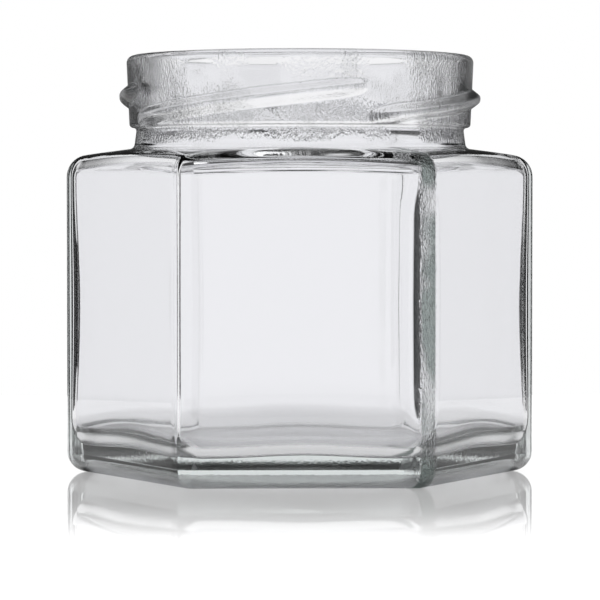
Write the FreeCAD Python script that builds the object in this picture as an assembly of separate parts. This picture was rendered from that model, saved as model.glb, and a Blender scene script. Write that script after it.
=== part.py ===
"""Hexagonal glass jar with a wide round mouth and four lug threads for a twist-off lid.

One piece of pressed and blown glass. Millimetres, +Z up. The origin is the centre of the base, on
the surface that the jar stands on. Two flat walls face -Y and +Y, and two corners lie on the X axis.
"""
import FreeCAD, Part
import math
import os

Vec = FreeCAD.Vector
up = Vec(0, 0, 1)

# Heights, one above the other
body_height = 55.7         # base to where the shoulder meets the neck
neck_height = 3.6          # from there to the finish's lower edge
finish_height = 12.3       # from that edge to the sealing rim

# Body, outside
body_flats = 70.7          # from one flat wall to the opposite one
body_corner = 4.0          # radius of the six upright corners
heel_radius = 3.5          # rounding between the walls and the base
shoulder_radius = 3.8      # rounding between the walls and the shoulder
shoulder_slope = 7.5       # degrees, falling from the neck to the walls

# Body, inside
wall = 2.0                 # glass in the middle of a flat wall
roof = 2.0                 # glass under the shoulder
inner_corner = 5.0         # the inside corners are a little rounder than the outside ones
floor_thickness = 4.8      # glass in the base, at its edge
floor_fillet = 3.0         # between the walls and the floor, inside
roof_fillet = 2.0          # between the walls and the underside of the shoulder, inside

# Base
bearing_width = 4.85       # narrowest part of the flat ring that the jar stands on
push_up_depth = 1.6        # the round hollow under the base, inside that ring
floor_rise = 1.0           # the floor swells upwards over the hollow
floor_rise_radius = 20.0

# Neck and lug finish
finish_radius = 29.9       # outside of the finish at the rim
finish_taper = 0.55        # how much narrower its lower edge is
finish_ledge = 1.25        # how far that edge stands out from the neck
finish_edge = 0.6          # rounding of that edge
finish_wall = 3.1          # glass at the rim
bore_taper = 0.7           # how much narrower the bore is where it meets the body
neck_flare = 0.5           # how much the neck widens down to the shoulder
neck_fillet = 1.0          # between the neck and the shoulder
rim_radius = 1.2           # roundings of the sealing rim
throat_fillet = 1.9        # between the bore and the underside of the shoulder

# Lugs
lug_count = 4
lug_start = -69.0          # degrees from the front of the jar, to the right, where one lug begins
lug_sweep = 92.0           # degrees that each lug runs
lug_taper = 20.0           # degrees over which each end of a lug runs out into the wall
lug_offset = 1.15          # a lug's middle line begins this far above the finish's lower edge
lug_rise = 5.2             # how far it climbs on its way
lug_projection = 1.4       # how far a lug stands out past the rim
lug_root = 3.2             # height of a lug where it leaves the wall
lug_tip = 0.9              # height of its blunt outer edge
lug_end_root = 0.6         # share of that root height that is left at each end
lug_end_projection = 0.1   # how far each end still stands out
lug_bite = 0.8             # how deep a lug's root lies in the wall
lug_sections = 15          # cross-sections that shape one lug

# Making
fillet_share = 0.95        # roundings fill at most this share of the corner or the room that they have
overshoot = 1.0            # how far a cutting shape reaches past what it cuts
touch = 0.01               # points this close to a height or a radius lie on it
glass_density = 2.5e-3     # grams in a cubic millimetre of soda-lime glass

# Worked out from the sizes above
finish_foot = body_height + neck_height
height = finish_foot + finish_height
finish_foot_radius = finish_radius - finish_taper
neck_top_radius = finish_foot_radius - finish_ledge
neck_foot_radius = neck_top_radius + neck_flare
bore_radius = finish_radius - finish_wall
throat_radius = bore_radius - bore_taper
push_up_radius = body_flats / 2 - heel_radius - bearing_width


def ring_point(radius, degrees, z):
    """A point seen from the front: 0 degrees faces -Y, and positive angles go to the right."""
    a = math.radians(degrees)
    return Vec(radius * math.sin(a), -radius * math.cos(a), z)


def from_axis(point):
    return math.hypot(point.x, point.y)


def edges_where(shape, test):
    """The edges whose ends and middle all pass the test."""
    found = []
    for edge in shape.Edges:
        first, last = edge.ParameterRange
        points = [vertex.Point for vertex in edge.Vertexes] + [edge.valueAt((first + last) / 2)]
        if all(test(point) for point in points):
            found.append(edge)
    return found


def turned(points):
    """A solid of revolution about Z, from a closed outline of (radius, height) points."""
    outline = Part.makePolygon([Vec(r, 0, z) for r, z in points + points[:1]])
    return Part.Face(outline).revolve(Vec(0, 0, 0), up, 360)


def dome(radius, rise, z):
    """A shallow cap of a sphere, standing on height z."""
    ball_radius = (radius ** 2 + rise ** 2) / (2 * rise)
    ball = Part.makeSphere(ball_radius, Vec(0, 0, z + rise - ball_radius))
    return ball.common(Part.makeCylinder(radius, rise, Vec(0, 0, z)))


def hexagon(flats, corner, z):
    """A closed wire of six straight sides and six arcs, with two corners on the X axis."""
    centre = Vec((flats / 2 - corner) / math.cos(math.radians(30)), 0, z)
    points = [centre + Vec(math.cos(math.radians(t)), math.sin(math.radians(t)), 0) * corner
              for t in (-30, 0, 30)]
    arcs = []
    for i in range(6):
        rotation = FreeCAD.Rotation(up, 60 * i)
        arcs.append([rotation.multVec(point) for point in points])
    edges = [Part.Arc(*arc).toShape() for arc in arcs]
    for i, arc in enumerate(arcs):
        edges.append(Part.LineSegment(arc[2], arcs[(i + 1) % 6][0]).toShape())
    return Part.Wire(Part.__sortEdges__(edges))


def shoulder_at(radius):
    """Height of the conical shoulder at a radius, on the outside."""
    return body_height - (radius - neck_foot_radius) * math.tan(math.radians(shoulder_slope))


def hexagonal_body(flats, corner, low, under, low_fillet, top_fillet):
    """A hexagonal block that ends in a cone, which lies under the outer shoulder by a distance."""
    cone = turned([(0, low - overshoot), (flats, low - overshoot),
                   (flats, shoulder_at(flats) - under), (0, shoulder_at(0) - under)])
    block = Part.Face(hexagon(flats, corner, low)).extrude(up * height).common(cone)
    largest = fillet_share * corner
    top = edges_where(block, lambda p: p.z > body_height / 2)
    block = block.makeFillet(min(top_fillet, largest), top)
    bottom = edges_where(block, lambda p: p.z < low + touch)
    return block.makeFillet(min(low_fillet, largest), bottom)


def neck():
    """The neck, sunk a little into the body, and the plain wall of the finish up to the rim."""
    depth = 2 * neck_fillet
    sunk = body_height - depth
    sunk_radius = neck_foot_radius + neck_flare * depth / neck_height
    shape = turned([(0, sunk), (sunk_radius, sunk), (neck_top_radius, finish_foot),
                    (finish_foot_radius, finish_foot), (finish_radius, height), (0, height)])
    edge = edges_where(shape, lambda p: abs(p.z - finish_foot) < touch and
                       abs(from_axis(p) - finish_foot_radius) < touch)
    return shape.makeFillet(finish_edge, edge)


def lug(start):
    """One lug: a blunt ridge that climbs round the finish and runs out into the wall at both ends."""
    sections = []
    for i in range(lug_sections):
        along = i / (lug_sections - 1)
        from_end = min(along, 1 - along) * lug_sweep
        swell = math.sin(math.pi / 2 * min(1, from_end / lug_taper))
        z = finish_foot + lug_offset + lug_rise * along
        surface = finish_foot_radius + finish_taper * (z - finish_foot) / finish_height
        root = surface - lug_bite
        end = root + lug_end_projection
        tip = end + (finish_radius + lug_projection - end) * swell
        half_root = lug_root / 2 * (lug_end_root + (1 - lug_end_root) * swell)
        half_tip = lug_tip / 2
        outline = [(root, -half_root), (tip, -half_tip), (tip, half_tip), (root, half_root)]
        points = [ring_point(r, start + lug_sweep * along, z + dz) for r, dz in outline]
        sections.append(Part.makePolygon(points + points[:1]))
    return Part.makeLoft(sections, True, False)


def outside():
    """Everything within the outer surface: body, neck and lugs, with no hollow."""
    body = hexagonal_body(body_flats, body_corner, 0, 0, heel_radius, shoulder_radius)
    shape = body.fuse(neck()).removeSplitter()
    foot = edges_where(shape, lambda p: abs(p.z - body_height) < touch)
    shape = shape.makeFillet(neck_fillet, foot)
    for i in range(lug_count):
        shape = shape.fuse(lug(lug_start + 360 / lug_count * i))
    return shape


def inside():
    """Everything within the inner surface: the hexagonal space, the throat and the bore."""
    flats = body_flats - 2 * wall
    half_slope = math.radians(shoulder_slope / 2)
    needed = (roof_fillet * math.tan(math.pi / 4 - half_slope)
              + throat_fillet * math.tan(math.pi / 4 + half_slope))
    fit = min(1, fillet_share * (flats / 2 - throat_radius) / needed)
    space = hexagonal_body(flats, inner_corner, floor_thickness, roof, floor_fillet, fit * roof_fillet)
    space = space.cut(dome(floor_rise_radius, floor_rise, floor_thickness))
    bore = turned([(0, body_height / 2), (throat_radius, body_height / 2), (throat_radius, body_height),
                   (bore_radius, height), (bore_radius, height + overshoot), (0, height + overshoot)])
    space = space.fuse(bore).removeSplitter()
    throat = edges_where(space, lambda p: abs(from_axis(p) - throat_radius) < touch and
                         p.z < body_height - touch)
    return space.makeFillet(fit * throat_fillet, throat)


def jar():
    """The finished jar, with the hollow under its base and its sealing rim rounded."""
    shape = outside().cut(inside()).cut(dome(push_up_radius, push_up_depth, 0))
    rim = edges_where(shape, lambda p: abs(p.z - height) < touch)
    (solid,) = shape.makeFillet(rim_radius, rim).Solids
    return solid


os.makedirs("parts", exist_ok=True)
glass = jar()
glass.exportStep("parts/jar.step")
print("valid", glass.isValid(), "volume", round(glass.Volume), "mm3, weight",
      round(glass.Volume * glass_density, 1), "g")
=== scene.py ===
import bpy
import cmath
import math
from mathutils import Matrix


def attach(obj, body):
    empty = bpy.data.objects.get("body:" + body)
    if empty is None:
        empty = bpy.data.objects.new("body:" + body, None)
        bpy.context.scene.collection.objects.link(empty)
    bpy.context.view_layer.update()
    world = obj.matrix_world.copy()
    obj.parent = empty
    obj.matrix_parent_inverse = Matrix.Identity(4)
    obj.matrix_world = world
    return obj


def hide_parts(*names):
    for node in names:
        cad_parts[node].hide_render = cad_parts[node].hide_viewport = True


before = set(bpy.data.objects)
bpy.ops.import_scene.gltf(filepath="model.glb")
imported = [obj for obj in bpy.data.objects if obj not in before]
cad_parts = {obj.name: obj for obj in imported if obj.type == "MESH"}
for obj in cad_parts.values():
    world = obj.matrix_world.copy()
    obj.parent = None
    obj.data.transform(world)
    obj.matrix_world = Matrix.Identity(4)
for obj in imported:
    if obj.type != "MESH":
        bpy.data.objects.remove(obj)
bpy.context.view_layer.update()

scene = bpy.context.scene
scene.view_settings.view_transform = "Standard"

millimetre = 0.001          # in metres
cornerStep = math.pi / 3    # from one corner of the hexagon to the next
halfStep = cornerStep / 2
white = (1, 1, 1, 1)


def addNode(tree, kind, settings=None, inputs=None):
    # an input is a plain value, a socket, or a node whose first output is linked
    node = tree.nodes.new(kind)
    for name, value in (settings or {}).items():
        setattr(node, name, value)
    for socket, value in (inputs or {}).items():
        if isinstance(value, bpy.types.Node):
            value = value.outputs[0]
        if isinstance(value, bpy.types.NodeSocket):
            tree.links.new(value, node.inputs[socket])
        else:
            node.inputs[socket].default_value = value
    return node


def addRows(tree, values, kind, setting, rows):
    # each row gives a name, the node's setting and its inputs, which may be names of earlier values
    for name, choice, *terms in rows:
        inputs = {i: values[term] if isinstance(term, str) else term for i, term in enumerate(terms)}
        values[name] = addNode(tree, kind, {setting: choice}, inputs)


def hexToLinear(code):
    # "#rrggbb" in sRGB to the linear colour that a socket takes
    channels = [int(code[i:i + 2], 16) / 255 for i in (1, 3, 5)]
    linear = [c / 12.92 if c <= 0.04045 else ((c + 0.055) / 1.055) ** 2.4 for c in channels]
    return (*linear, 1.0)


# the camera, in metres and degrees, with its lens and sensor in millimetres

cameraSettings = {
    "distance": 0.520,      # from the jar's axis
    "heading": -1.2,        # round the jar, to the left
    "height": 0.0469,
    "aimHeight": 0.0296,
    "lens": 180.6,
    "sensor": 36.0,
    "nearest": 0.01,        # nothing nearer than this is drawn
}


def makeCamera(s):
    camera = bpy.data.objects.new("camera", bpy.data.cameras.new("camera"))
    scene.collection.objects.link(camera)
    turn = math.radians(s["heading"])
    drop = math.atan2(s["height"] - s["aimHeight"], s["distance"])
    camera.location = (s["distance"] * math.sin(turn), -s["distance"] * math.cos(turn), s["height"])
    camera.rotation_euler = (math.pi / 2 - drop, 0, turn)
    camera.data.lens = s["lens"]
    camera.data.sensor_width = s["sensor"]
    camera.data.clip_start = s["nearest"]
    scene.camera = camera


makeCamera(cameraSettings)
print("camera set")


# the jar: one closed skin, outside and inside, made of rings that run from the middle of the base
# up the outside, over the rim and down the inside to the middle of the floor

jarSizes = {                # millimetres and degrees
    "bodyHeight": 55.7,     # to where the shoulder meets the neck
    "neckHeight": 3.6,
    "finishHeight": 12.3,
    "halfFlats": 35.35,     # axis to a flat wall
    "corner": 4.0,
    "heel": 3.5,
    "shoulderRound": 3.8,
    "slope": 7.5,           # of the shoulder
    "wall": 2.0,
    "roof": 2.0,            # glass under the shoulder
    "innerCorner": 4.0,     # at the floor and at the shoulder
    "innerSwell": 2.2,      # rounder by this halfway up, where the glass ran into the corners
    "swellAt": 0.48,        # where on the wall it is roundest, as a share of its height
    "swellReach": 0.52,     # and how far from there it is back to the plain corner
    "innerSteady": 2.4,     # the thickest corner is rounder by this all the way up
    "floor": 4.8,
    "floorRound": 4.5,
    "floorBowl": 1.0,       # the floor's edge climbs the walls by this between the corners
    "roofRound": 2.0,
    "pushUpRadius": 27.0,
    "pushUpDepth": 1.6,
    "floorRise": 1.0,
    "floorRiseRadius": 20.0,
    "finishRadius": 29.9,
    "finishTaper": 0.55,
    "ledge": 1.25,
    "ledgeRound": 0.6,
    "finishWall": 3.1,
    "boreTaper": 0.7,
    "neckFlare": 0.5,
    "neckRound": 1.0,
    "rimRound": 1.2,
    "throatRound": 1.9,
    "sharpestCorner": 0.3,  # least radius that the corners keep in the lower roundings
    "wallSpare": 0.6,       # an upright wall's last ring lies this far under the rounding above it
    "steadyEnds": 0.125,    # share of the wall over which the thickest corner eases in and out
    "leadIn": 3.0,          # straight lines lead into the neck's outline for this many radii
    "lugOffset": 1.15,      # a lug's middle line begins this far above the finish's lower edge
}

unevenness = {              # how much of the wave each surface takes, sideways or up and down
    "wall": 0.3,
    "bore": 0.35,
    "throat": 1.8,
    "roof": 4.5,
    "floor": 1.2,
    "pushUp": 0.8,
}

skins = {                   # marks on each stretch of the glass, with the names of plainRing below
    "pushUp": {"grain": 1.0, "frost": 0.5},
    "bearing": {"grain": 1.0, "frost": 0.5},
    "heel": {"grain": 2.5, "frost": 0.4},           # fades out up the rounding
    "neck": {"seam": 1.0, "sides": 0.35},
    "finish": {"seam": 1.0, "lug": 1.0, "patch": 3.0, "sides": 0.3},
    "bore": {"patch": 4.2, "sides": 0.2, "wave": unevenness["bore"]},
    "throat": {"wave": unevenness["throat"]},
    "floorEdge": {"grain": 1.5, "frost": 0.65},     # fades out up the rounding
    "floor": {"grain": 1.5, "frost": 0.5},
}

ringSteps = {               # rings along each stretch
    "pushUp": 14,
    "bearing": 7,
    "rounding": 10,
    "wall": 22,
    "toNeck": 8,
    "neckFoot": 6,
    "neck": 3,
    "ledge": 5,
    "underLedge": 2,
    "finish": 54,
    "rim": 8,
    "rimTop": 1,
    "bore": 24,
    "throat": 8,
    "toThroat": 6,
    "innerWall": 30,
    "toFloor": 6,
    "floor": 12,
}

plainRing = {
    "level": 0.0,           # height, before the slope takes its part
    "cone": 0.0,            # 1 where the ring follows the shoulder's slope
    "around": 0.0,          # radius where the ring is round
    "share": 0.0,           # 0 round, 1 hexagonal
    "half": 1.0,            # axis to flat of the hexagon
    "corner": 0.5,          # its corner radius
    "swell": 0.0,           # added to that radius, in full at the thick corners
    "steady": 0.0,          # the same, at the thickest corner only
    "lug": 0.0,             # 1 where lugs stand out
    "seam": 0.0,            # 1 where the neck ring's seam shows, -1 where the body mould's does
    "bowl": 0.0,            # lifted by this in the middle of a wall, and not at the corners
    "wave": 0.0,            # share of the glass's waves that it takes sideways
    "ripple": 0.0,          # the same, up and down
    "chill": 0.0,           # 1 where the skin is rough at the corners of one side
    "grain": 0.0,           # relief of stippled or chill-marked skin; where heavy, it also sets the painted shade in the glass
    "patch": 0.0,           # the same, in patches only
    "frost": 0.0,           # blur of such skin
    "sides": 0.0,           # the same, left and right only
}


def steps(count, first=1):
    return [i / count for i in range(first, count + 1)]


def roundedCorner(before, at, after, radius, count):
    # points are complex: distance from the axis, and height
    u = (before - at) / abs(before - at)
    v = (after - at) / abs(after - at)
    half = abs(cmath.phase(v / u)) / 2
    centre = at + (u + v) / abs(u + v) * radius / math.sin(half)
    start = at + u * radius / math.tan(half) - centre
    end = at + v * radius / math.tan(half) - centre
    sweep = cmath.phase(end / start)
    return [centre + start * cmath.rect(1, sweep * t) for t in steps(count, 0)]


def shoulderApex(s):
    neckFoot = s["finishRadius"] - s["finishTaper"] - s["ledge"] + s["neckFlare"]
    return s["bodyHeight"] + neckFoot * math.tan(math.radians(s["slope"]))


def blockRings(s, half, corner, low, lowRound, drop, topRound, count, lowSkin, swell=0.0, steady=0.0,
               bowl=0.0, **marks):
    # up a hexagonal block: rounding, upright walls, and the rounding into the slope
    slope = math.tan(math.radians(s["slope"]))
    tangent = topRound * math.tan(math.radians(45 - s["slope"] / 2))
    apex = shoulderApex(s) - drop
    wallTop = apex - tangent - slope * half / math.cos(halfStep) - s["wallSpare"]
    rings = []
    for t in steps(ringSteps["rounding"], 0):
        inset = lowRound * (1 - math.sin(t * math.pi / 2))
        level = low + lowRound * (1 - math.cos(t * math.pi / 2))
        rings.append({"level": level, "half": half - inset,
                      "corner": max(corner - inset, s["sharpestCorner"]), "bowl": bowl * (1 + t) / 2,
                      **{name: value * (1 - t) for name, value in lowSkin.items()}})
    for t in steps(count):
        level = low + lowRound + (wallTop - low - lowRound) * t
        fromRoundest = (t - s["swellAt"]) / s["swellReach"]
        rings.append({"level": level, "half": half, "corner": corner,
                      "swell": swell * max(0, 1 - fromRoundest ** 2) ** 2,
                      "steady": steady * min(1, t / s["steadyEnds"], (1 - t) / s["steadyEnds"]),
                      "bowl": bowl * (1 - t) ** 3})
    for t in steps(ringSteps["rounding"], 0):
        turn = math.radians(90 - s["slope"]) * t
        inset = topRound * (1 - math.cos(turn))
        level = apex - tangent + topRound * math.sin(turn) - slope * inset
        rings.append({"level": level, "cone": 1.0, "half": half - inset, "corner": corner - inset})
    return [{**plainRing, "share": 1.0, **marks, **ring} for ring in rings]


def neckOutline(s, count):
    # the outline's corners: place, radius and rings of the rounding, then rings and skin up to the next
    slope = math.tan(math.radians(s["slope"]))
    apex = shoulderApex(s)
    ledge = s["bodyHeight"] + s["neckHeight"]
    height = ledge + s["finishHeight"]
    roof = apex - s["roof"]
    finishFoot = s["finishRadius"] - s["finishTaper"]
    neckTop = finishFoot - s["ledge"]
    neckFoot = neckTop + s["neckFlare"]
    bore = s["finishRadius"] - s["finishWall"]
    throat = bore - s["boreTaper"]
    outer = neckFoot + s["leadIn"] * s["neckRound"]
    inner = throat + s["leadIn"] * s["throatRound"]
    foot = complex(neckFoot, s["bodyHeight"])
    throatEdge = complex(throat, roof - throat * slope)
    return [
        (complex(outer, apex - outer * slope), 0, 0, 0, {}),
        (foot, s["neckRound"], count["neckFoot"], count["neck"], skins["neck"]),
        (complex(neckTop, ledge), s["ledgeRound"], count["ledge"], count["underLedge"], skins["neck"]),
        (complex(finishFoot, ledge), s["ledgeRound"], count["ledge"], count["finish"], skins["finish"]),
        (complex(s["finishRadius"], height), s["rimRound"], count["rim"], count["rimTop"], {}),
        (complex(bore, height), s["rimRound"], count["rim"], count["bore"], skins["bore"]),
        (throatEdge, s["throatRound"], count["throat"], 0, skins["throat"]),
        (complex(inner, roof - inner * slope), 0, 0, 0, {}),
    ]


def jarRings(s):
    rings = []
    for t in steps(ringSteps["pushUp"], 0):
        rings.append({**plainRing, **skins["pushUp"], "around": s["pushUpRadius"] * t,
                      "level": s["pushUpDepth"] * (1 - t * t), "ripple": unevenness["pushUp"] * (1 - t)})
    body = blockRings(s, s["halfFlats"], s["corner"], 0, s["heel"], 0, s["shoulderRound"],
                      ringSteps["wall"], skins["heel"], seam=-1.0, chill=1.0)
    for t in steps(ringSteps["bearing"]):
        rings.append({**body[0], **skins["bearing"], "around": s["pushUpRadius"], "share": t,
                      "seam": 0.0})
    rings += body

    points = neckOutline(s, ringSteps)
    turns = [roundedCorner(points[i - 1][0], points[i][0], points[i + 1][0], *points[i][1:3])
             for i in range(1, len(points) - 1)]
    for t in steps(ringSteps["toNeck"])[:-1]:
        rings.append({**body[-1], "around": turns[0][0].real, "share": 1 - t, "seam": 0.0})
    for i, turn in enumerate(turns):
        count, skin = points[i + 1][3:]
        following = turns[i + 1][0] if count else turn[-1]
        stretch = [turn[-1] + (following - turn[-1]) * t for t in steps(count + 1)[:-1]]
        for place in turn + stretch:
            rings.append({**plainRing, **skin, "around": place.real, "level": place.imag})

    space = blockRings(s, s["halfFlats"] - s["wall"], s["innerCorner"], s["floor"], s["floorRound"],
                       s["roof"], s["roofRound"], ringSteps["innerWall"], skins["floorEdge"],
                       s["innerSwell"], s["innerSteady"], s["floorBowl"], wave=unevenness["wall"])
    for t in steps(ringSteps["toThroat"])[:-1]:
        rings.append({**space[-1], "around": turns[-1][-1].real, "share": t,
                      "ripple": unevenness["roof"] * t})
    rings += reversed(space)
    for t in steps(ringSteps["toFloor"]):
        frost = space[0]["frost"] * (1 - t) + skins["floor"]["frost"] * t
        rings.append({**space[0], "around": s["floorRiseRadius"], "share": 1 - t, "wave": 0.0,
                      "bowl": space[0]["bowl"] * (1 - t), "ripple": unevenness["floor"] * t,
                      "frost": frost})
    for t in steps(ringSteps["floor"]):
        rings.append({**plainRing, **skins["floor"], "around": s["floorRiseRadius"] * (1 - t),
                      "level": s["floor"] + s["floorRise"] * (1 - (1 - t) ** 2),
                      "ripple": unevenness["floor"]})
    return rings


def ringCarrier(rings):
    # one point for each ring, with the ring's values as attributes
    mesh = bpy.data.meshes.new("ringCarrier")
    mesh.from_pydata([(0, 0, i) for i in range(len(rings))], [], [])
    for name in plainRing:
        layer = mesh.attributes.new(name, "FLOAT", "POINT")
        layer.data.foreach_set("value", [float(ring[name]) for ring in rings])
    carrier = bpy.data.objects.new("ringCarrier", mesh)
    scene.collection.objects.link(carrier)
    return carrier


ruleInputs = {              # headings are degrees from +X, anticlockwise
    "Columns": 342.0,       # a multiple of six
    "Crowding": 0.7,        # how much the columns gather at the corners
    "Slope": jarSizes["slope"],
    "Thick Corner": 0.0,    # this one and the one across took more glass
    "Thickest Corner": -60.0,
    "Thickest Focus": 4.0,  # the higher, the less its neighbours share in it
    "Grain Side": -45.0,    # the corners on this side came rough from the mould
    "Grain Focus": 3.0,     # the higher, the fewer of them
    "Grain Turn": -0.1,     # how far the rough strip lies to the front of its corner
    "Grain Reach": 2.5,     # degrees to each side of it, where the roughness ends
    "Grain Fade": 0.7,
    # at the rough corners this much grain also brings the glass's painted dark shade
    "Corner Grain": 8.0,
    "Corner Patches": 1.7,  # the higher, the more even the rough strip
    "Corner Frost": 0.4,
    "Haze Side": 90.0,      # the corners on this side are a little dull
    "Corner Haze": 0.55,
    "Lug Count": 4.0,
    "Lug Start": -159.0,
    "Lug Taper": 11.0,      # each end of a lug rises over this angle
    "Lug Low": jarSizes["bodyHeight"] + jarSizes["neckHeight"] + jarSizes["lugOffset"],
    "Lug Rise": 5.2,
    "Lug Projection": 1.5,
    "Lug Root": 3.2,        # its height where it leaves the wall
    "Lug End Root": 0.6,    # share of that height which is left at each end
    "Lug Tip": 0.9,         # height of its blunt edge
    "Lug Softness": 0.3,    # how gently the flanks run into that edge
    "Lug Grain": 0.3,       # for each millimetre that it stands out, and its blur
    "Lug Frost": 0.2,
    "Neck Seam": -132.0,
    "Body Seam": -120.7,
    "Seam Height": 0.16,
    "Seam Width": 0.45,
    "Wave": 0.14,           # millimetres, of which each surface takes its share
    "Wave Size": 13.0,
    "Wave Seed": 3.0,
    "Patch Size": 7.0,
    "Patch Seed": 5.0,
    "Patch Least": 0.46,    # where the noise is lower than this, the skin is smooth
    "Patch Steepness": 6.0,
    "Side Focus": 3.0,      # the higher, the narrower the blur on the left and right of the neck
}

columnRows = [
    # columns gather at the six corners
    ("turn", "DIVIDE", "column", "Columns"),
    ("sixths", "MULTIPLY", "turn", math.tau / cornerStep),
    ("sixthTurn", "MULTIPLY", "sixths", math.tau),
    ("sixthSine", "SINE", "sixthTurn"),
    ("gather", "MULTIPLY", "sixthSine", "Crowding"),
    ("gatherSixths", "DIVIDE", "gather", math.tau),
    ("place", "SUBTRACT", "sixths", "gatherSixths"),
    ("angle", "MULTIPLY", "place", cornerStep),
    ("nearest", "ROUND", "place"),
    ("cornerAngle", "MULTIPLY", "nearest", cornerStep),
    ("offCorner", "SUBTRACT", "angle", "cornerAngle"),
    ("off", "ABSOLUTE", "offCorner"),
]

hexagonRows = [
    # the corner radius, swollen at the two thick corners and, all the way up, at the thickest
    ("thickHeading", "RADIANS", "Thick Corner"),
    ("fromThick", "SUBTRACT", "cornerAngle", "thickHeading"),
    ("thickCosine", "COSINE", "fromThick"),
    ("thick", "MULTIPLY", "thickCosine", "thickCosine"),
    ("thickestHeading", "RADIANS", "Thickest Corner"),
    ("fromThickest", "SUBTRACT", "cornerAngle", "thickestHeading"),
    ("thickestCosine", "COSINE", "fromThickest"),
    ("thickestSide", "MAXIMUM", "thickestCosine", 0.0),
    ("thickest", "POWER", "thickestSide", "Thickest Focus"),
    ("steadyPart", "MULTIPLY", "steady", "thickest"),
    ("swollen", "MULTIPLY_ADD", "swell", "thick", "steadyPart"),
    ("radiusHere", "ADD", "corner", "swollen"),
    # distance from the axis to a flat, and to the corner's arc
    ("fromFlat", "SUBTRACT", halfStep, "off"),
    ("flatCosine", "COSINE", "fromFlat"),
    ("toFlat", "DIVIDE", "half", "flatCosine"),
    ("arcInset", "SUBTRACT", "half", "radiusHere"),
    ("arcCentre", "DIVIDE", "arcInset", math.cos(halfStep)),
    ("offSine", "SINE", "off"),
    ("offCosine", "COSINE", "off"),
    ("across", "MULTIPLY", "arcCentre", "offSine"),
    ("acrossSquare", "MULTIPLY", "across", "across"),
    ("radiusSquare", "MULTIPLY", "radiusHere", "radiusHere"),
    ("leftOver", "SUBTRACT", "radiusSquare", "acrossSquare"),
    ("leftOverSafe", "MAXIMUM", "leftOver", 0.0),
    ("reach", "SQRT", "leftOverSafe"),
    ("along", "MULTIPLY", "arcCentre", "offCosine"),
    ("toArc", "ADD", "along", "reach"),
    ("tangentOut", "MULTIPLY_ADD", "radiusHere", math.cos(halfStep), "arcCentre"),
    ("tangentSide", "MULTIPLY", "radiusHere", math.sin(halfStep)),
    ("tangentAngle", "ARCTAN2", "tangentSide", "tangentOut"),
    ("onArc", "LESS_THAN", "off", "tangentAngle"),
    ("arcMore", "SUBTRACT", "toArc", "toFlat"),
    ("hexagon", "MULTIPLY_ADD", "arcMore", "onArc", "toFlat"),
    # between round and hexagonal
    ("hexagonMore", "SUBTRACT", "hexagon", "around"),
    ("radiusPlain", "MULTIPLY_ADD", "hexagonMore", "share", "around"),
    ("slopeAngle", "RADIANS", "Slope"),
    ("slopeTangent", "TANGENT", "slopeAngle"),
    ("slopeFall", "MULTIPLY", "radiusPlain", "slopeTangent"),
    ("fall", "MULTIPLY", "slopeFall", "cone"),
    ("heightFallen", "SUBTRACT", "level", "fall"),
    # the floor's bowl, from none at a corner to its full height in the middle of a wall
    ("offQuarter", "MULTIPLY", "off", math.pi / 2 / halfStep),
    ("offWave", "SINE", "offQuarter"),
    ("middleShare", "MULTIPLY", "offWave", "offWave"),
    ("heightPlain", "MULTIPLY_ADD", "middleShare", "bowl", "heightFallen"),
]

lugRows = [
    # equal lugs, one after another: how high the middle line is here, and how far the lug stands out
    ("degrees", "DEGREES", "angle"),
    ("sinceStart", "SUBTRACT", "degrees", "Lug Start"),
    ("pitch", "DIVIDE", 360.0, "Lug Count"),
    ("inPitch", "FLOORED_MODULO", "sinceStart", "pitch"),
    ("lugShare", "DIVIDE", "inPitch", "pitch"),
    ("toLugEnd", "SUBTRACT", "pitch", "inPitch"),
    ("nearLugEnd", "MINIMUM", "inPitch", "toLugEnd"),
    ("lugRamp", "DIVIDE", "nearLugEnd", "Lug Taper"),
    ("lugRampFull", "MINIMUM", "lugRamp", 1.0),
    ("lugRampAngle", "MULTIPLY", "lugRampFull", math.pi / 2),
    ("lugSwell", "SINE", "lugRampAngle"),
    ("lugMiddle", "MULTIPLY_ADD", "Lug Rise", "lugShare", "Lug Low"),
    ("fromMiddle", "SUBTRACT", "heightPlain", "lugMiddle"),
    ("aboveLug", "ABSOLUTE", "fromMiddle"),
    ("rootGrowth", "SUBTRACT", 1.0, "Lug End Root"),
    ("rootShare", "MULTIPLY_ADD", "lugSwell", "rootGrowth", "Lug End Root"),
    ("rootFull", "MULTIPLY", "Lug Root", 0.5),
    ("rootHalf", "MULTIPLY", "rootFull", "rootShare"),
    ("tipHalf", "MULTIPLY", "Lug Tip", 0.5),
    ("flank", "SUBTRACT", "rootHalf", "tipHalf"),
    ("withinRoot", "SUBTRACT", "rootHalf", "aboveLug"),
    ("liftRaw", "DIVIDE", "withinRoot", "flank"),
    ("liftUp", "MAXIMUM", "liftRaw", 0.0),
    ("lift", "SMOOTH_MIN", "liftUp", 1.0, "Lug Softness"),
    ("lugOut", "MULTIPLY", "lift", "lugSwell"),
    ("lugFull", "MULTIPLY", "lugOut", "Lug Projection"),
    ("lugHere", "MULTIPLY", "lugFull", "lug"),
]

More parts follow.
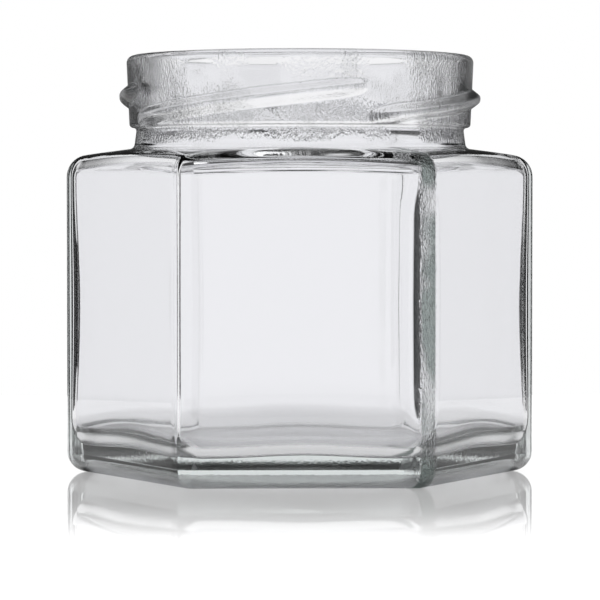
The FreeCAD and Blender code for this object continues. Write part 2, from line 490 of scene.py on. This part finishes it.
seamRows = [
    # a seam runs up both sides of the jar; the neck ring's is not in line with the body's
    ("isNeck", "MAXIMUM", "seam", 0.0),
    ("seamBetween", "SUBTRACT", "Neck Seam", "Body Seam"),
    ("seamHeading", "MULTIPLY_ADD", "seamBetween", "isNeck", "Body Seam"),
    ("fromSeam", "SUBTRACT", "degrees", "seamHeading"),
    ("fromSeamHalf", "PINGPONG", "fromSeam", 90.0),
    ("seamTurn", "RADIANS", "fromSeamHalf"),
    ("seamAway", "MULTIPLY", "seamTurn", "radiusPlain"),
    ("seamShare", "DIVIDE", "seamAway", "Seam Width"),
    ("seamRidge", "SUBTRACT", 1.0, "seamShare"),
    ("seamUp", "MAXIMUM", "seamRidge", 0.0),
    ("hasSeam", "ABSOLUTE", "seam"),
    ("seamHigh", "MULTIPLY", "seamUp", "Seam Height"),
    ("seamHere", "MULTIPLY", "seamHigh", "hasSeam"),
    ("radiusSeam", "ADD", "radiusPlain", "seamHere"),
    ("radiusOut", "ADD", "radiusSeam", "lugHere"),
    ("cosine", "COSINE", "angle"),
    ("cosineSize", "ABSOLUTE", "cosine"),
    ("sine", "SINE", "angle"),
    ("xPlain", "MULTIPLY", "radiusOut", "cosine"),
    ("yPlain", "MULTIPLY", "radiusOut", "sine"),
    ("perWave", "DIVIDE", 1.0, "Wave Size"),
    ("perPatch", "DIVIDE", 1.0, "Patch Size"),
]

finalRows = [
    # uneven glass, from noise between 0 and 1
    ("swing", "SUBTRACT", "waveNoise", 0.5),
    ("swingBoth", "MULTIPLY", "swing", 2.0),
    ("swingFull", "MULTIPLY", "swingBoth", "Wave"),
    ("radius", "MULTIPLY_ADD", "swingFull", "wave", "radiusOut"),
    ("height", "MULTIPLY_ADD", "swingFull", "ripple", "heightPlain"),
    ("radiusMetres", "MULTIPLY", "radius", millimetre),
    ("x", "MULTIPLY", "radiusMetres", "cosine"),
    ("y", "MULTIPLY", "radiusMetres", "sine"),
    ("z", "MULTIPLY", "height", millimetre),
    # rough corners on one side, and rough patches on the neck
    ("grainHeading", "RADIANS", "Grain Side"),
    ("grainTurn", "RADIANS", "Grain Turn"),
    ("fromGrain", "SUBTRACT", "cornerAngle", "grainHeading"),
    ("offTurned", "ADD", "offCorner", "grainTurn"),
    ("offTurnedSize", "ABSOLUTE", "offTurned"),
    ("offDegrees", "DEGREES", "offTurnedSize"),
    ("grainCosine", "COSINE", "fromGrain"),
    ("grainFacing", "MAXIMUM", "grainCosine", 0.0),
    ("grainSide", "POWER", "grainFacing", "Grain Focus"),
    ("withinReach", "SUBTRACT", "Grain Reach", "offDegrees"),
    ("nearCorner", "DIVIDE", "withinReach", "Grain Fade"),
    ("nearCornerUp", "MAXIMUM", "nearCorner", 0.0),
    ("nearCornerFull", "MINIMUM", "nearCornerUp", 1.0),
    ("cornerOn", "MULTIPLY", "nearCornerFull", "chill"),
    ("cornerPart", "MULTIPLY", "cornerOn", "grainSide"),
    ("uneven", "MULTIPLY", "patchNoise", "Corner Patches"),
    ("unevenFull", "MINIMUM", "uneven", 1.0),
    ("cornerUneven", "MULTIPLY", "cornerPart", "unevenFull"),
    ("cornerGrain", "MULTIPLY", "cornerUneven", "Corner Grain"),
    ("patchOver", "SUBTRACT", "patchNoise", "Patch Least"),
    ("patchSteep", "MULTIPLY", "patchOver", "Patch Steepness"),
    ("patchUp", "MAXIMUM", "patchSteep", 0.0),
    ("patchFull", "MINIMUM", "patchUp", 1.0),
    ("patchHere", "MULTIPLY", "patchFull", "patch"),
    ("lugGrain", "MULTIPLY_ADD", "lugHere", "Lug Grain", "cornerGrain"),
    ("grainBoth", "ADD", "lugGrain", "patchHere"),
    ("grainAll", "ADD", "grainBoth", "grain"),
    # blur: left and right on the neck, on the lugs, and at the rough and dull corners
    ("sideShare", "POWER", "cosineSize", "Side Focus"),
    ("sideFrost", "MULTIPLY_ADD", "sideShare", "sides", "frost"),
    ("lugFrost", "MULTIPLY_ADD", "lugHere", "Lug Frost", "sideFrost"),
    ("hazeHeading", "RADIANS", "Haze Side"),
    ("fromHaze", "SUBTRACT", "cornerAngle", "hazeHeading"),
    ("hazeCosine", "COSINE", "fromHaze"),
    ("hazeSide", "MAXIMUM", "hazeCosine", 0.0),
    ("hazeOn", "MULTIPLY", "hazeSide", "cornerOn"),
    ("haze", "MULTIPLY", "hazeOn", "Corner Haze"),
    ("grainFrost", "MULTIPLY_ADD", "cornerPart", "Corner Frost", "haze"),
    ("frostAll", "ADD", "grainFrost", "lugFrost"),
]


def jarRule(material, ringCount):
    # a grid of rings and columns, bent round: the weld joins its first column to its last, and draws
    # each end together in one point
    weld = 0.001 * millimetre
    tree = bpy.data.node_groups.new("jarRule", "GeometryNodeTree")
    tree.interface.new_socket("Geometry", in_out="INPUT", socket_type="NodeSocketGeometry")
    tree.interface.new_socket("Geometry", in_out="OUTPUT", socket_type="NodeSocketGeometry")
    for name, value in ruleInputs.items():
        socket = tree.interface.new_socket(name, in_out="INPUT", socket_type="NodeSocketFloat")
        socket.default_value = value
    given = addNode(tree, "NodeGroupInput")
    values = {name: given.outputs[name] for name in ruleInputs}
    values["index"] = addNode(tree, "GeometryNodeInputIndex")
    values["rings"] = float(ringCount)
    addRows(tree, values, "ShaderNodeMath", "operation", [
        ("row", "FLOORED_MODULO", "index", "rings"),
        ("columnPart", "DIVIDE", "index", "rings"),
        ("column", "FLOOR", "columnPart"),
        ("columnCount", "ADD", "Columns", 1.0),
    ])
    grid = addNode(tree, "GeometryNodeMeshGrid", None, {
        "Vertices X": values["columnCount"], "Vertices Y": ringCount, "Size X": 1.0, "Size Y": 1.0})
    onPoints = {"data_type": "FLOAT", "domain": "POINT"}
    for name in plainRing:
        named = addNode(tree, "GeometryNodeInputNamedAttribute", {"data_type": "FLOAT"}, {"Name": name})
        values[name] = addNode(tree, "GeometryNodeSampleIndex", onPoints, {
            "Geometry": given.outputs["Geometry"], "Value": named, "Index": values["row"]})
    for rows in (columnRows, hexagonRows, lugRows, seamRows):
        addRows(tree, values, "ShaderNodeMath", "operation", rows)

    place = addNode(tree, "ShaderNodeCombineXYZ", None, {
        "X": values["xPlain"], "Y": values["yPlain"], "Z": values["heightPlain"]})
    for name, scale, seed in (("waveNoise", "perWave", "Wave Seed"),
                              ("patchNoise", "perPatch", "Patch Seed")):
        values[name] = addNode(tree, "ShaderNodeTexNoise", {"noise_dimensions": "4D"}, {
            "Vector": place, "W": values[seed], "Scale": values[scale], "Detail": 1.0})
    addRows(tree, values, "ShaderNodeMath", "operation", finalRows)

    position = addNode(tree, "ShaderNodeCombineXYZ", None, {
        "X": values["x"], "Y": values["y"], "Z": values["z"]})
    placed = addNode(tree, "GeometryNodeSetPosition", None, {"Geometry": grid, "Position": position})
    for name, source in (("grain", "grainAll"), ("frost", "frostAll")):
        placed = addNode(tree, "GeometryNodeStoreNamedAttribute", onPoints, {
            "Geometry": placed, "Name": name, "Value": values[source]})
    merged = addNode(tree, "GeometryNodeMergeByDistance", None, {"Geometry": placed, "Distance": weld})
    smooth = addNode(tree, "GeometryNodeSetShadeSmooth", None, {
        "Geometry": merged, "Shade Smooth": True})
    real = addNode(tree, "GeometryNodeRealizeInstances", None, {"Geometry": smooth})
    final = addNode(tree, "GeometryNodeSetMaterial", None, {"Geometry": real, "Material": material})
    addNode(tree, "NodeGroupOutput", None, {"Geometry": final})
    return tree


# soda-lime glass, pressed at the neck and blown in the body: clear, with a grey-green cast where it is
# thick, and a fine grain where it lay on a stippled or cold mould; where the grain is heaviest, at the
# rough corners, the glass is tinted dark grey-green, partly the rough skin's own colour and partly
# painted shade for the dark edge that the glass shows there

glassSettings = {
    "tint": "#f9f9fb",
    "cast": "#bccac5",      # what is left of white after a long way through
    "castDensity": 9.0,
    "ior": 1.52,
    "roughness": 0.02,
    "chillShadeTint": "#6c7874", # where the grain is heaviest: painted shade for the dark corner edges, over the rough skin's own grey-green
    "chillShadeStart": 3.5,      # grain from which the glass takes on that tint and painted shade, and has it in full
    "chillShadeFull": 6.5,
    "frostRoughness": 0.36,
    "milk": 0.35,           # share of its light that heavy frost scatters
    "milkStart": 0.45,      # frost from which it does, and does so in full
    "milkFull": 0.60,
    "grainSize": 0.34,      # millimetres across; real stipple is finer, and would not show
    "grainStretch": 0.45,   # drawn out upwards
    "grainDepth": 0.16,     # millimetres
    "grainStrength": 0.25,  # how much each unit of grain tilts the skin
    "shadow": "#f4f6f5",    # what the glass lets through to its shadow
}


def glassMaterial(s):
    material = bpy.data.materials.new("flintGlassPressedAndBlown")
    material.use_nodes = True
    tree = material.node_tree
    tree.nodes.clear()
    where = addNode(tree, "ShaderNodeTexCoord")
    values = {}
    for name in ("grain", "frost"):
        values[name] = addNode(tree, "ShaderNodeAttribute", {"attribute_name": name}).outputs["Fac"]
    drawn = addNode(tree, "ShaderNodeVectorMath", {"operation": "MULTIPLY"}, {
        0: where.outputs["Object"], 1: (1, 1, s["grainStretch"])})
    noise = addNode(tree, "ShaderNodeTexNoise", None, {
        "Vector": drawn, "Scale": 1 / (s["grainSize"] * millimetre), "Detail": 2.0})
    addRows(tree, values, "ShaderNodeMath", "operation", [
        ("strength", "MULTIPLY", "grain", s["grainStrength"]),
        ("frostShare", "MINIMUM", "frost", 1.0),
        ("roughness", "MULTIPLY_ADD", "frostShare", s["frostRoughness"], s["roughness"]),
    ])
    addRows(tree, values, "ShaderNodeMapRange", "interpolation_type", [
        ("chillShaded", "SMOOTHSTEP", "grain", s["chillShadeStart"], s["chillShadeFull"], 0.0, 1.0),
        ("passed", "SMOOTHSTEP", "frost", s["milkStart"], s["milkFull"], 1.0, 1.0 - s["milk"]),
    ])
    bump = addNode(tree, "ShaderNodeBump", None, {
        "Strength": values["strength"], "Distance": s["grainDepth"] * millimetre, "Height": noise})
    # the tint darkens to painted shade where the grain is heavy: at the rough corners, and a little in
    # the bore's patches
    tint = addNode(tree, "ShaderNodeMix", {"data_type": "RGBA"}, {
        "Factor": values["chillShaded"], 6: hexToLinear(s["tint"]), 7: hexToLinear(s["chillShadeTint"])})
    glass = addNode(tree, "ShaderNodeBsdfPrincipled", None, {
        "Base Color": tint.outputs[2], "Roughness": values["roughness"], "IOR": s["ior"],
        "Transmission Weight": values["passed"], "Normal": bump})
    clear = addNode(tree, "ShaderNodeBsdfTransparent", None, {"Color": hexToLinear(s["shadow"])})
    path = addNode(tree, "ShaderNodeLightPath")
    both = addNode(tree, "ShaderNodeMixShader", None, {
        0: path.outputs["Is Shadow Ray"], 1: glass, 2: clear})
    dim = addNode(tree, "ShaderNodeVolumeAbsorption", None, {
        "Color": hexToLinear(s["cast"]), "Density": s["castDensity"]})
    addNode(tree, "ShaderNodeOutputMaterial", None, {"Surface": both, "Volume": dim})
    return material


def makeJar(material):
    rings = jarRings(jarSizes)
    carrier = ringCarrier(rings)
    modifier = carrier.modifiers.new("jarRule", "NODES")
    modifier.node_group = jarRule(material, len(rings))
    for item in modifier.node_group.interface.items_tree:
        if item.in_out == "INPUT" and item.name in ruleInputs:
            modifier[item.identifier] = ruleInputs[item.name]
    bpy.context.view_layer.update()
    graph = bpy.context.evaluated_depsgraph_get()
    mesh = bpy.data.meshes.new_from_object(carrier.evaluated_get(graph))
    mesh.name = "glassJar"
    carrier.modifiers.remove(modifier)
    bpy.data.objects.remove(carrier)
    jar = bpy.data.objects.new("glassJar", mesh)
    scene.collection.objects.link(jar)
    return jar


jar = makeJar(glassMaterial(glassSettings))
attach(jar, "root")
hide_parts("jar")
print("jar made:", len(jar.data.vertices), "vertices", len(jar.data.polygons), "faces")


# the floor: polished white acrylic, which mirrors the foot of the jar; seen through the glass it glows,
# with a painted shadow round the foot

floorSettings = {
    "halfSize": 0.2,        # metres
    "drop": 0.00005,        # just under the jar's foot
    "colour": 0.8,          # a linear grey
    "glow": 0.8,            # added where the camera sees it, so that it is white
    "shadowUnderJar": 0.75,       # its glow as seen through glass, at the foot and beyond: lower at the foot as a painted shadow
    "beyond": 0.97,
    "footEnd": 0.045,       # distances from the axis
    "beyondStart": 0.12,
    "mirror": 0.65,         # near the foot
    "mirrorFull": 0.055,    # distance up to which it mirrors fully
    "mirrorEnd": 0.150,
}


def floorMaterial(s):
    material = bpy.data.materials.new("whiteAcrylicPolished")
    material.use_nodes = True
    tree = material.node_tree
    tree.nodes.clear()
    path = addNode(tree, "ShaderNodeLightPath")
    where = addNode(tree, "ShaderNodeTexCoord")
    away = addNode(tree, "ShaderNodeVectorMath", {"operation": "LENGTH"}, {0: where.outputs["Object"]})
    values = {"away": away.outputs["Value"]}
    addRows(tree, values, "ShaderNodeMapRange", "interpolation_type", [
        ("through", "SMOOTHSTEP", "away", s["footEnd"], s["beyondStart"], s["shadowUnderJar"], s["beyond"]),
        ("mirrorShare", "SMOOTHSTEP", "away", s["mirrorFull"], s["mirrorEnd"], s["mirror"], 0.0),
    ])
    grey = [s["colour"]] * 3
    glowOnly = addNode(tree, "ShaderNodeMath", {"operation": "MULTIPLY"}, {
        0: path.outputs["Is Camera Ray"], 1: s["glow"]})
    lit = addNode(tree, "ShaderNodeBsdfDiffuse", None, {"Color": (*grey, 1)})
    glow = addNode(tree, "ShaderNodeEmission", None, {"Color": white, "Strength": glowOnly})
    both = addNode(tree, "ShaderNodeAddShader", None, {0: lit, 1: glow})
    mirror = addNode(tree, "ShaderNodeBsdfGlossy", None, {"Color": white, "Roughness": 0.0})
    seen = addNode(tree, "ShaderNodeMixShader", None, {0: values["mirrorShare"], 1: both, 2: mirror})
    # seen through the glass the floor is an even glow, dimmed near the foot as a painted shadow
    through = addNode(tree, "ShaderNodeEmission", None, {"Color": white, "Strength": values["through"]})
    whole = addNode(tree, "ShaderNodeMixShader", None, {
        0: path.outputs["Is Transmission Ray"], 1: seen, 2: through})
    addNode(tree, "ShaderNodeOutputMaterial", None, {"Surface": whole})
    return material


def makeFloor(s):
    size = s["halfSize"]
    corners = [(-size, -size, 0), (size, -size, 0), (size, size, 0), (-size, size, 0)]
    mesh = bpy.data.meshes.new("floor")
    mesh.from_pydata(corners, [], [(0, 1, 2, 3)])
    mesh.materials.append(floorMaterial(s))
    floor = bpy.data.objects.new("floor", mesh)
    floor.location.z = -s["drop"]
    scene.collection.objects.link(floor)


makeFloor(floorSettings)
print("floor made")


# the studio: tall white panels all round with dark gaps between them, which edge the glass in black,
# a narrow panel in the gap on each side, white above the panels, and a dark ceiling with one lamp

studioSettings = {
    "panels": 6.0,
    "shift": -0.5,          # degrees that the middle panel's centre lies to the left
    "gapFull": -0.05,       # cosine within the turn of one panel: darkest gap, and where its edge ends
    "gapEnd": 0.16,
    "gapLight": 0.02,
    "sideStart": 0.965,     # a narrow panel stands in the gap on each side: sines of the heading
    "sideEnd": 0.985,
    "gapTop": 0.34,         # the gaps close between these heights, as the sine of the elevation
    "gapTopEnd": 0.50,
    "ceiling": 0.58,        # the ceiling darkens between these heights
    "ceilingEnd": 0.74,
    "ceilingLight": 0.04,
    "lampRight": -0.235,    # a lamp in it: the tangents of its place, and of half its width and length
    "lampAhead": 0.45,
    "lampHalf": 0.165,
    "lampLong": 0.25,
    "lampLight": 1.3,
    "mirrored": 0.05,       # the even light that the jar's own reflections show
}


def makeStudio(s):
    world = bpy.data.worlds.new("studio")
    scene.world = world
    world.use_nodes = True
    tree = world.node_tree
    tree.nodes.clear()
    path = addNode(tree, "ShaderNodeLightPath")
    where = addNode(tree, "ShaderNodeTexCoord")
    split = addNode(tree, "ShaderNodeSeparateXYZ", None, {0: where.outputs["Generated"]})
    values = {
        "right": split.outputs["X"], "ahead": split.outputs["Y"], "up": split.outputs["Z"],
        "camera": path.outputs["Is Camera Ray"], "glossy": path.outputs["Is Glossy Ray"],
        "through": path.outputs["Is Transmission Ray"], "sharp": path.outputs["Is Singular Ray"],
        "diffuse": path.outputs["Is Diffuse Ray"],
    }
    addRows(tree, values, "ShaderNodeMath", "operation", [
        ("heading", "ARCTAN2", "right", "ahead"),
        ("headingShifted", "ADD", "heading", math.radians(s["shift"])),
        ("panelTurn", "MULTIPLY", "headingShifted", s["panels"]),
        ("panel", "COSINE", "panelTurn"),
        ("headingSine", "SINE", "heading"),
        ("sideways", "ABSOLUTE", "headingSine"),
    ])
    addRows(tree, values, "ShaderNodeMapRange", "interpolation_type", [
        ("window", "SMOOTHSTEP", "panel", s["gapFull"], s["gapEnd"], s["gapLight"], 1.0),
        ("sidePanel", "SMOOTHSTEP", "sideways", s["sideStart"], s["sideEnd"], 0.0, 1.0),
        ("closed", "SMOOTHSTEP", "up", s["gapTop"], s["gapTopEnd"], 0.0, 1.0),
        ("ceiling", "SMOOTHSTEP", "up", s["ceiling"], s["ceilingEnd"], 1.0, s["ceilingLight"]),
    ])
    addRows(tree, values, "ShaderNodeMath", "operation", [
        ("panels", "MAXIMUM", "window", "sidePanel"),
        ("walls", "MAXIMUM", "panels", "closed"),
        ("wallsAndCeiling", "MULTIPLY", "walls", "ceiling"),
        ("overRight", "DIVIDE", "right", "up"),
        ("overAhead", "DIVIDE", "ahead", "up"),
        ("inLampAcross", "COMPARE", "overRight", s["lampRight"], s["lampHalf"]),
        ("inLampAlong", "COMPARE", "overAhead", s["lampAhead"], s["lampLong"]),
        ("inLamp", "MULTIPLY", "inLampAcross", "inLampAlong"),
        ("above", "GREATER_THAN", "up", 0.0),
        ("lampHere", "MULTIPLY", "inLamp", "above"),
        ("lamp", "MULTIPLY", "lampHere", s["lampLight"]),
        ("studio", "MAXIMUM", "wallsAndCeiling", "lamp"),
        ("notThrough", "SUBTRACT", 1.0, "through"),
        ("glossyOnly", "MULTIPLY", "glossy", "notThrough"),
        # plain white for the camera, the floor's mirror and the light on the floor
        ("floorMirror", "MULTIPLY", "glossyOnly", "sharp"),
        ("plainCamera", "MAXIMUM", "camera", "floorMirror"),
        ("plain", "MAXIMUM", "plainCamera", "diffuse"),
        ("mirroredPart", "MULTIPLY", "notThrough", s["mirrored"]),
        ("part", "MULTIPLY_ADD", "studio", "through", "mirroredPart"),
        ("notPlain", "SUBTRACT", 1.0, "plain"),
        ("total", "MULTIPLY_ADD", "part", "notPlain", "plain"),
    ])
    light = addNode(tree, "ShaderNodeBackground", None, {"Color": white, "Strength": values["total"]})
    addNode(tree, "ShaderNodeOutputWorld", None, {"Surface": light})


makeStudio(studioSettings)
print("studio made")
